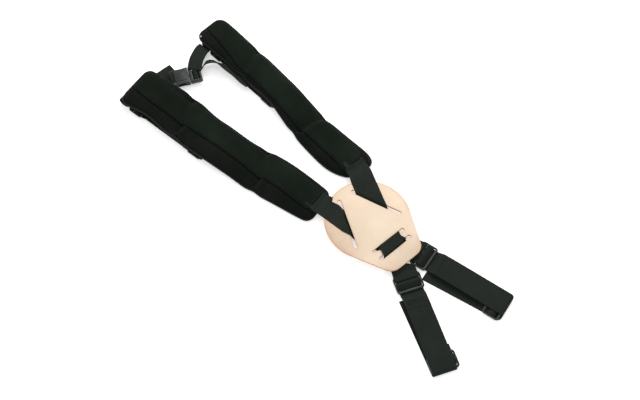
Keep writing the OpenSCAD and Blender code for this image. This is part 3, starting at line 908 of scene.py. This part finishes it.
def strip_rows(side, s0, s1, u0, u1, lift, cols, step=2.0, soft=2):
    """Points of a band that lies on a pad, from one seam to the other."""
    path, tree = paths[side], tops[side]
    rows = []
    for s in np.arange(s0, s1 + 1e-6, step):
        r, e = path.at(s)
        seam = r[6]
        row = []
        inner = strip_width(r, u1)
        near_end = min(s - STRIP_FROM[side], path.length - STRIP_END - s)
        turn = max(0.0, 1 - near_end / 8.0)
        curve_in = 7 * (1 - math.sqrt(max(0.0, 1 - turn ** 2))) if u1 - u0 > 1 else 0.0
        for k in cols:
            if u1 - u0 > 1:
                u = seam + curve_in * 0.6 + (inner - curve_in * 1.6) * k
            else:
                u = seam + min(u0, inner - 2)
            x, y = r[0] + e[0] * u, r[1] + e[1] * u
            row.append((x, y, height_on(tree, (x, y), r[2] + r[3] * 0.6)))
        rows.append(row)
    grid = np.array(rows)
    for _ in range(soft):
        z = grid[..., 2]
        z[1:-1] = (z[:-2] + 2 * z[1:-1] + z[2:]) / 4
        z[:, 1:-1] = (z[:, :-2] + 2 * z[:, 1:-1] + z[:, 2:]) / 4
    grid[..., 2] += lift
    return grid


def pad_trim(side):
    """The strip sewn over the pad's webbing, its stitching, the lining and the bound edge."""
    path = paths[side]
    share = (ACROSS + 1) / 2
    grid = strip_rows(side, STRIP_FROM[side], path.length - STRIP_END, 0.0, STRIP_W, 0.95, share)
    # the strip is a little fuller in the middle, over the webbing that it covers
    grid[..., 2] += 0.7 * (1 - np.abs(ACROSS[None, :]) ** 6)
    verts, faces, weave = thicken(to_row(grid), 1.1 * MM)
    strip = make_object(side + "_pad_strip_top", verts, faces, STRIP, ROOT, weave=weave)
    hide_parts(side + "_pad_strip")
    runs = []
    for k in (0.045, 0.955):
        line = strip_rows(side, STRIP_FROM[side] + 5, path.length - 12, STRIP_W * k, STRIP_W * k + 0.01,
                          1.75, [0.0])[:, 0]
        runs.append([(p, (0, 0, 1)) for p in line])
    for s in (STRIP_FROM[side] + 3.0, path.length - 10):
        r, e = path.at(s)
        inner = strip_width(r)
        row = []
        for k in np.linspace(0.16, 0.8, 12):
            u = r[6] + inner * k
            x, y = r[0] + e[0] * u, r[1] + e[1] * u
            row.append(((x, y, height_on(tops[side], (x, y), r[2]) + 2.2), (0, 0, 1)))
        runs.append(row)
    thread = stitches(side + "_pad_stitching", runs, ROOT)
    # lining under the foam
    rows = []
    for s in np.arange(3, path.length - 2, 3.0):
        r, e = path.at(s)
        row = []
        for a in ACROSS:
            u = a * (r[4] if a < 0 else r[5]) * 0.93
            row.append((r[0] + e[0] * u, r[1] + e[1] * u, r[2] - 0.35 + 0.5 * abs(a) ** 6))
        rows.append(row)
    verts, faces, weave = thicken(to_row(np.array(rows)), 0.7 * MM)
    lining = make_object(side + "_pad_lining_sheet", verts, faces, LINING, ROOT, weave=weave)
    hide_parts(side + "_pad_lining")
    # bound edge: a folded tape round the pad where cover and lining meet
    loop = []

    def run_along(places, column):
        sign = -1 if column == 4 else 1
        for s in places:
            r, e = path.at(s)
            x, y = (r[i] + sign * e[i] * r[column] * 0.985 for i in (0, 1))
            loop.append((x, y, r[2] + r[3] * 0.2))

    def round_end(s, shares, beyond):
        r, e = path.at(s)
        for k in shares:
            w = r[4] if k < 0 else r[5]
            x, y = r[0] + e[0] * w * k - e[1] * beyond, r[1] + e[1] * w * k + e[0] * beyond
            loop.append((x, y, r[2] + r[3] * 0.3))

    ss = np.arange(4, path.length - 3.9, 3.0)
    run_along(ss, 4)
    round_end(path.length, np.linspace(-0.86, 0.86, 13), 0.4)
    run_along(ss[::-1], 5)
    round_end(0, np.linspace(0.86, -0.86, 13), -0.4)
    loop = np.array(loop)
    for _ in range(2):
        loop = (np.roll(loop, 1, 0) + 2 * loop + np.roll(loop, -1, 0)) / 4
    tangent = np.roll(loop, -1, 0) - np.roll(loop, 1, 0)
    tangent /= np.linalg.norm(tangent, axis=1, keepdims=True)
    out = np.cross(tangent, (0, 0, 1))
    out /= np.linalg.norm(out, axis=1, keepdims=True)
    up = np.cross(out, tangent)
    run = np.concatenate([[0], np.cumsum(np.linalg.norm(np.diff(loop, axis=0), axis=1))])
    verts, weave, n = [], [], 10
    for i in range(len(loop)):
        for k in range(n):
            a = 2 * math.pi * k / n
            verts.append(loop[i] + out[i] * math.cos(a) * 1.5 + up[i] * math.sin(a) * 2.3)
            weave.append((a * 2 * MM, run[i] * MM, 0))
    faces = [(i * n + k, i * n + (k + 1) % n, ((i + 1) % len(loop)) * n + (k + 1) % n,
              ((i + 1) % len(loop)) * n + k)
             for i in range(len(loop)) for k in range(n)]
    binding = make_object(side + "_pad_binding", to_row(verts), faces, BINDING, ROOT, weave=weave)


for side in ("left", "right"):
    pad_trim(side)


# ------------------------------------------------------------------ back straps
V_TOP, V_BOTTOM = np.array([14.5, 64.5]), np.array([45.5, -11.0])
ROUTES = {
    "left": np.array([(-37.8, 79), (-36.2, 73), (-30, 36), (1, -44)], float),
    "right": np.array([(46.3, 89.4), (44.6, 82), (27, 35), (-1, -44)], float),
}


def left_of(d):
    return np.array([-d[1], d[0]])


def level_row(p, d, z, w=WEB_W):
    n = left_of(d) * w / 2
    return [(*(p + n), z), (*(p - n), z)]


def meet(p, d, a, nq, q):
    return p + d * ((q - (p - a) @ nq) / (d @ nq))


def stepped(p, d, a, nq, profile):
    n = left_of(d) * WEB_W / 2
    return [[(*meet(p + n, d, a, nq, q), z), (*meet(p - n, d, a, nq, q), z)] for q, z in profile]


# the strap bulges over the slider's upper bar and drops beside the middle bar
EYE_LINE = round_line([(EYE_X - 1.5, LOW_Z + 0.05), (EYE_X + 2.6, LOW_Z + 0.2), (EYE_X + 6.5, BAR_Z + 2.3),
                       (EYE_X + 6.7, BAR_Z - 1.0),
                       (EYE_X + 3.2, BAR_Z - 2.75), (EYE_X - 1.5, BAR_Z - 2.6)], 1.6)


def back_strap(side, end_key, under_z, top_z, up_y, down_y):
    sign = -1 if side == "left" else 1
    r = ROUTES[side]
    d = unit(r[3] - r[2])
    a = V_TOP * (sign, 1)
    along = unit(V_BOTTOM * (sign, 1) - a)
    rows = []
    # from under the pad's strip, over the pad's rounded end and down to the leather
    path = paths[side]
    for s in (STRIP_FROM[side] + 12, STRIP_FROM[side] + 6, STRIP_FROM[side] + 1, STRIP_FROM[side] - 2, 5.0,
              2.5):
        ring, e = path.at(s)
        c = ring[:2] + e * (ring[6] + strip_width(ring) / 2)
        travel = np.array([e[1], -e[0]])
        hidden = s > STRIP_FROM[side]
        z = height_on(tops[side], c, OVER_Z) + (0.2 if hidden else 0.9)
        rows.append(level_row(c, travel, z if hidden else max(z, OVER_Z - 0.6), WEB_W - (5 if hidden else 1)))
    rows.append(level_row(r[1], unit(r[2] - r[0]), OVER_Z + 0.35))
    profile = round_line([(12, OVER_Z + 0.1), (2.2, OVER_Z), (-2.2, under_z), (-9, under_z)], 1.5)
    rows += stepped(r[2], d, a, sign * left_of(along), profile)
    profile = round_line([(up_y + 5, under_z), (up_y, under_z), (up_y, top_z), (down_y, top_z),
                          (down_y, under_z), (down_y - 5, under_z)], 1.0)
    rows += stepped(r[3], d, np.zeros(2), np.array([0.0, 1.0]), profile)
    if under_z > LOW_Z:
        rows += tape_rows(end_key, [(EYE_X - 12, under_z), (EYE_X - 7.5, LOW_Z + 0.5)])
    side_view = [(EYE_X - 6, LOW_Z)] + EYE_LINE
    side_view += [(EYE_X - 4, BAR_Z - (LOW_Z - BAR_Z) + 0.5), (EYE_X - 9, LOW_Z - WEB_T - 0.6),
                  (EYE_X - 13, LOW_Z - WEB_T - 0.35)]
    ends = tape_rows(end_key, side_view)
    first = rows[-1]
    if np.linalg.norm(np.array(first[0]) - ends[0][0]) > np.linalg.norm(np.array(first[0]) - ends[0][1]):
        ends = [e[::-1] for e in ends]
        if under_z > LOW_Z:
            rows[-2:] = [row[::-1] for row in rows[-2:]]
    rows += ends
    obj = tape_from_edges(side + "_back_webbing", [np.array(x) for x in rows], WEB, ROOT, passes=1,
                          step=1.3, waver=0.1)
    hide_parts(side + "_back_strap")


def arc_view(cx, cz, r, a0, a1, count=12):
    return [(cx + r * math.cos(math.radians(a)), cz + r * math.sin(math.radians(a)))
            for a in np.linspace(a0, a1, count + 1)]


back_strap("left", "right_back", LOW_Z, OVER_Z, -37.4, -50.1)
back_strap("right", "left_back", HIGH_Z, BRIDGE_Z, -35.3, -52.2)


# ------------------------------------------------------------------ sliders, belt loops, front straps
def slider(key, kind, body):
    window = (SLIDER_L - 2 * BAR_W - CENTRE_BAR_W) / 2
    middle = CENTRE_BAR_W / 2 + window / 2
    outlines = [rounded_rect(SLIDER_L, SLIDER_W, 4.5)]
    outlines += [rounded_rect(window, WEB_W + 1, 1.2, (s * middle, 0)) for s in (-1, 1)]
    place = strap_place(key)
    x0, y0 = (0.0, 0.0) if kind == "eye" else (LOOP_SLIDER_X, LOOSE[key][0])
    z = BAR_Z if kind == "eye" else (LOOP_FRONT_Z + FLOOR_Z) / 2

    def shaped(p):
        # outer bars swell into rounded rails and the middle bar is ribbed for grip
        q = p.copy()
        edge = np.abs(np.abs(p[:, 0]) - (SLIDER_L / 2 - BAR_W / 2)) < BAR_W
        q[:, 2] += np.where(edge, (p[:, 2] - z) * 0.12, 0)
        q[:, 0] += x0
        q[:, 1] += y0
        return place(q)

    obj = curve_plate(key + ("_tri_glide" if kind == "eye" else "_loop_tri_glide"), outlines, SLIDER_T,
                      1.05, z, PLASTIC, body, 4, shaped)
    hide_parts(key + ("_slider" if kind == "eye" else "_loop_slider"))
    # grip ribs along the middle bar
    verts, faces = [], []
    for y in np.arange(-WEB_W / 2 + 2, WEB_W / 2 - 1, 2.4):
        base = len(verts)
        for dx, dz in ((-1.9, 0), (-1.1, 0.42), (1.1, 0.42), (1.9, 0)):
            for dy in (-0.45, 0.45):
                verts.append((x0 + dx, y0 + y + dy * (0.6 if dz else 1), z + SLIDER_T / 2 - 0.12 + dz * 0.6))
        for i in range(3):
            b = base + 2 * i
            faces.append((b, b + 1, b + 3, b + 2))
        faces += [(base, base + 2, base + 4, base + 6), (base + 1, base + 7, base + 5, base + 3),
                  (base, base + 6, base + 7, base + 1)]
    ribs = make_object(key + ("_grip_ribs" if kind == "eye" else "_loop_grip_ribs"),
                       to_row(place(np.array(verts))), faces, PLASTIC, body, smooth=False)


def belt_loop(key):
    body = key + "_loop"
    fold_r = (LOOP_FRONT_Z - FLOOR_Z) / 2
    fold_x = LOOP_LEN - fold_r
    ring_r = 3.15 + WEB_T / 2
    # sewn eye about the middle bar, then both layers run under the outer bar
    view = [(10.2, 1.15), (6.0, 1.3)] + arc_view(0, BAR_Z, ring_r, -65, -307, 18)
    view += [(9.4, 2.75), (10.6, 2.45), (14.8, 2.45), (16.6, 2.9), (25, 7.4), (27.5, LOOP_FRONT_Z)]
    view += [(45, LOOP_FRONT_Z + 0.25), (75, LOOP_FRONT_Z + 0.35), (110, LOOP_FRONT_Z + 0.15),
             (fold_x - 3, LOOP_FRONT_Z)]
    _, loose_end, loose_fold = LOOSE[key]
    view += [(x, z, loose_fold * smoothstep(0, 12, i)) for i, (x, z) in
             enumerate(arc_view(fold_x, (LOOP_FRONT_Z + FLOOR_Z) / 2, fold_r, 90, -90, 12))]
    # the right strand's cut end is tucked in beside the left slider
    end_x = SLIDER_L / 2 + (3 if key == "right_back" else 9)
    view += [(x, FLOOR_Z, loose_fold + (loose_end - loose_fold) * (fold_x - x) / (fold_x - end_x))
             for x in (fold_x - 20, 80, end_x)]
    obj = tape_from_edges(key + "_loop_webbing", tape_rows(key, view), WEB, body, passes=1, waver=0.12)
    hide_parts(key + "_loop")
    # box of bar tacks just past the slider
    place = strap_place(key)
    runs = []
    for x in (29.0, 32.0, 35.0, 42.0):
        height = LOOP_FRONT_Z + 0.72 + (0.25 if x > 40 else 0.1)
        pts = place([(x, y, height) for y in np.linspace(-17, 17, 20)])
        runs.append([(p, (0, 0, 1)) for p in pts])
    sewn = stitches(key + "_loop_bar_tacks", runs, body, radius=0.42, length=2.6, pitch=3.1)
    # the strand rides over the lower slider's middle bar
    x, side = LOOP_SLIDER_X, LOOSE[key][0]
    mid = (LOOP_FRONT_Z + FLOOR_Z) / 2
    low = FLOOR_Z + WEB_T / 2 + 0.75
    view = [(x - 24, low), (x - 9, low + 0.1), (x - 5.5, mid + 0.9), (x - 2.6, mid + 2.15),
            (x + 2.6, mid + 2.15), (x + 5.5, mid + 0.9),
            (x + 8.6, low + 0.3)]
    view = [(*p, side) for p in round_line(view, 1.5)]
    bight = tape_from_edges(key + "_loop_bight", tape_rows(key, view, WEB_W + 0.6), WEB, key + "_loop_slider",
                            thickness=1.1, passes=1, waver=0.0)


def front_strap(key):
    top_z, turn = 14.0, (14.0 - FLOOR_Z) / 2
    view = [(-4, top_z), (-20, top_z + 0.1)] + arc_view(-30, FLOOR_Z + turn, turn, 90, 270, 14)
    view += [(EYE_X - 12, FLOOR_Z + 0.2), (EYE_X - 8, 3.6), (EYE_X - 4, LOW_Z - 0.4)]
    view += EYE_LINE
    obj = tape_from_edges(key + "_webbing", tape_rows(key, view), WEB, ROOT, passes=1, waver=0.1)
    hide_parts(key + "_strap")


for key in HARDWARE:
    slider(key, "eye", key + "_slider")
    slider(key, "loop", key + "_loop_slider")
    belt_loop(key)
    if "front" in key:
        front_strap(key)


# ------------------------------------------------------------------ chest strap and buckle
BUCKLE_AT, BUCKLE_YAW, BUCKLE_Z = np.array([-52.5, 419.0]), -23.4, 9.0


def buckle_place(p):
    p = np.atleast_2d(np.asarray(p, float))
    a = math.radians(BUCKLE_YAW)
    x = np.array([math.cos(a), math.sin(a)])
    y = np.array([-math.sin(a), math.cos(a)])
    xy = BUCKLE_AT + p[:, :1] * x + p[:, 1:2] * y
    return np.concatenate([xy, p[:, 2:3] + BUCKLE_Z], axis=1)


def moulded(name, outlines, thickness, round_r, z, body, shape=None):
    def place(p):
        q = p.copy()
        if shape is not None:
            q = shape(q)
        return buckle_place(q)

    obj = curve_plate(name, outlines, thickness, round_r, z, BUCKLE, body, 4, place)
    return obj


def chest_buckle():
    # female body: two shells joined at the sides, waisted, with windows for the prongs
    waist = [(-31, -14), (-31, 14), (-29, 16.2), (-24, 16.5), (-19, 15.6), (-12, 15.4), (-6, 16.0),
             (-1.2, 16.5), (0, 15.2),
             (0, -15.2), (-1.2, -16.5), (-6, -16.0), (-12, -15.4), (-19, -15.6), (-24, -16.5), (-29, -16.2)]
    web_slot = rounded_rect(3.6, CHEST_W + 1, 1.0, (-26.8, 0))
    for name, z in (("chest_buckle_upper_shell", 3.3), ("chest_buckle_lower_shell", -3.3)):
        shell = moulded(name, [waist, web_slot], 2.4, 0.8, z, ROOT)
        if z > 0:
            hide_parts("chest_buckle_body")
    rail = [(-24, 12.6), (-24, 16.0), (-20, 15.4), (-20, 12.6)]
    for s in (-1, 1):
        moulded(f"chest_buckle_rail_{'left' if s < 0 else 'right'}", [[(x, s * y) for x, y in rail][::s]],
                5.4, 0.4, 0, ROOT)
        front = [(-8, 12.8), (-8, 15.6), (-0.8, 16.0), (-0.8, 12.8)]
        moulded(f"chest_buckle_cheek_{'left' if s < 0 else 'right'}", [[(x, s * y) for x, y in front][::s]],
                5.4, 0.4, 0, ROOT)
    # raised thumb panel on the upper shell
    moulded("chest_buckle_panel", [rounded_rect(17, 19, 3.5, (-12.5, 0))], 1.0, 0.45, 4.6, ROOT)
    # male plug: frame with two bars for the webbing, tongue and two sprung prongs
    frame_line = [(0.5, -15), (0.5, 15), (2, 16.4), (19.5, 16.4), (21.6, 14.4), (21.6, -14.4),
                  (19.5, -16.4), (2, -16.4)]
    holes = [rounded_rect(3.8, CHEST_W + 1, 1.2, (8.6, 0)), rounded_rect(3.8, CHEST_W + 1, 1.2, (15.8, 0))]
    plug = moulded("chest_plug_frame", [frame_line, *holes], 7.4, 1.2, 0, "chest_plug")
    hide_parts("chest_buckle_plug")
    moulded("chest_plug_tongue", [[(1.5, -3), (1.5, 3), (-16, 2.6), (-18, 1.4), (-18, -1.4), (-16, -2.6)]],
            3.4, 0.7, 0, "chest_plug")
    view = [(17.6, -4.6), (15.8, -3.2), (15.6, 2.2), (14.6, 4.3), (12.2, 4.75), (9.8, 4.3), (8.8, 2.2),
            (8.6, -3.2), (7.0, -4.6)]
    rows = [buckle_place([(x, -CHEST_W / 2, z), (x, CHEST_W / 2, z)]) for x, z in round_line(view, 1.2)]
    wound = tape_from_edges("chest_plug_webbing", rows, CHEST_WEB, "chest_plug", thickness=1.3, waver=0.0)
    for s, body, node in ((-1, "left_prong", "chest_left_prong"), (1, "right_prong", "chest_right_prong")):
        line = [(-0.4, 7.8), (-0.4, 10.4), (-8, 10.6), (-11, 12.0), (-15.5, 12.2), (-18.6, 10.2),
                (-19.4, 8.6), (-18.2, 7.8), (-9, 7.8)]
        arm = moulded(f"chest_plug_{body}", [[(x, s * y) for x, y in line][::s]], 3.4, 0.7, 0, body)
        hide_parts(node)


chest_buckle()


def chest_webbing():
    # tab: sewn through the buckle body's slot, going behind the left pad's end
    rows = [buckle_place([(x, -CHEST_W / 2, z), (x, CHEST_W / 2, z)]) for x, z in
            ((-40, -4.6), (-36, -3.4), (-33, -0.8), (-31.6, 1.6), (-29.6, 4.8), (-26.8, 5.3), (-26.2, 1.5),
             (-26.6, -5.2))]
    tab = tape_from_edges("chest_tab_webbing", rows, CHEST_WEB, ROOT, waver=0.05)
    # wide anchor that comes out from under the left pad's end and lies beneath the buckle
    edges = []
    for x, y, z in catmull([(-114, 442.3, 15.2), (-104, 443, 10.8), (-96, 443.5, 6), (-88, 444.5, 3.2),
                            (-76, 445, 2.9), (-62.5, 445, 2.6)], 6):
        edges.append(np.array([(x, y + WEB_W / 2, z), (x, y - WEB_W / 2, z)]))
    anchor = tape_from_edges("chest_anchor_webbing", edges, WEB, ROOT, waver=0.1)
    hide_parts("chest_tab")
    runs = [[((x, y, 2.6 + WEB_T / 2 + 0.25), (0, 0, 1)) for y in np.linspace(428, 462, 16)]
            for x in (-65.5, -68.5)]
    stitches("chest_anchor_stitching", runs, ROOT)
    # strap from the plug to the right pad's end
    edges = []
    line = catmull([(-38.5, 420.5, 14.2, 40), (-35.5, 424, 14.9, 42), (-30, 429.5, 15.6, 41),
                    (-22, 436, 15.9, 38), (-12, 442, 15.4, 29),
                    (-4, 446, 14.8, 18), (3, 447.5, 13.8, 10)], 8)
    for x, y, z, turn in line:
        a = math.radians(turn)
        e = np.array([-math.sin(a), math.cos(a)]) * CHEST_W / 2
        edges.append(np.array([(x + e[0], y + e[1], z), (x - e[0], y - e[1], z)]))
    strap = tape_from_edges("chest_webbing", edges, CHEST_WEB, None, waver=0.2)
    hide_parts("chest_strap")
    tuple(to_row([-2, 446, 14]))
    tuple(to_row([-30, 422, 14]))
    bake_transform(strap)
    # free tail: stands on edge as it leaves the plug, then lies against the right pad
    line = catmull([(-27, 414.5, 13.2, 66), (-20, 418.5, 13.6, 66), (-14, 419.5, 13.6, 66),
                    (-7, 416.5, 14, 65), (-1, 409, 14.8, 63),
                    (2, 401, 15.6, 50), (6, 394, 16.2, 30), (9.5, 387, 14.7, 18), (13, 377, 12.9, 13),
                    (15, 365, 12.3, 11), (16, 352, 11.6, 8), (19, 338, 11.2, 5)], 8)
    edges = []
    for i in range(len(line)):
        a, b = line[max(i - 1, 0)], line[min(i + 1, len(line) - 1)]
        d = unit((b - a)[:2])
        right = np.array([d[1], -d[0]])
        lean = math.radians(line[i][3])
        out = np.array([right[0] * math.cos(lean), right[1] * math.cos(lean),
                        math.sin(lean)]) * CHEST_W / 2 * 0.96
        edges.append(np.array([line[i][:3] - out, line[i][:3] + out]))
    tail = tape_from_edges("chest_webbing_tail", edges, CHEST_WEB, None, waver=0.1)
    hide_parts("chest_strap_tail")
    tuple(to_row([-1, 400, 15]))
    tuple(to_row([-20, 418, 15]))
    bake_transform(tail)


chest_webbing()
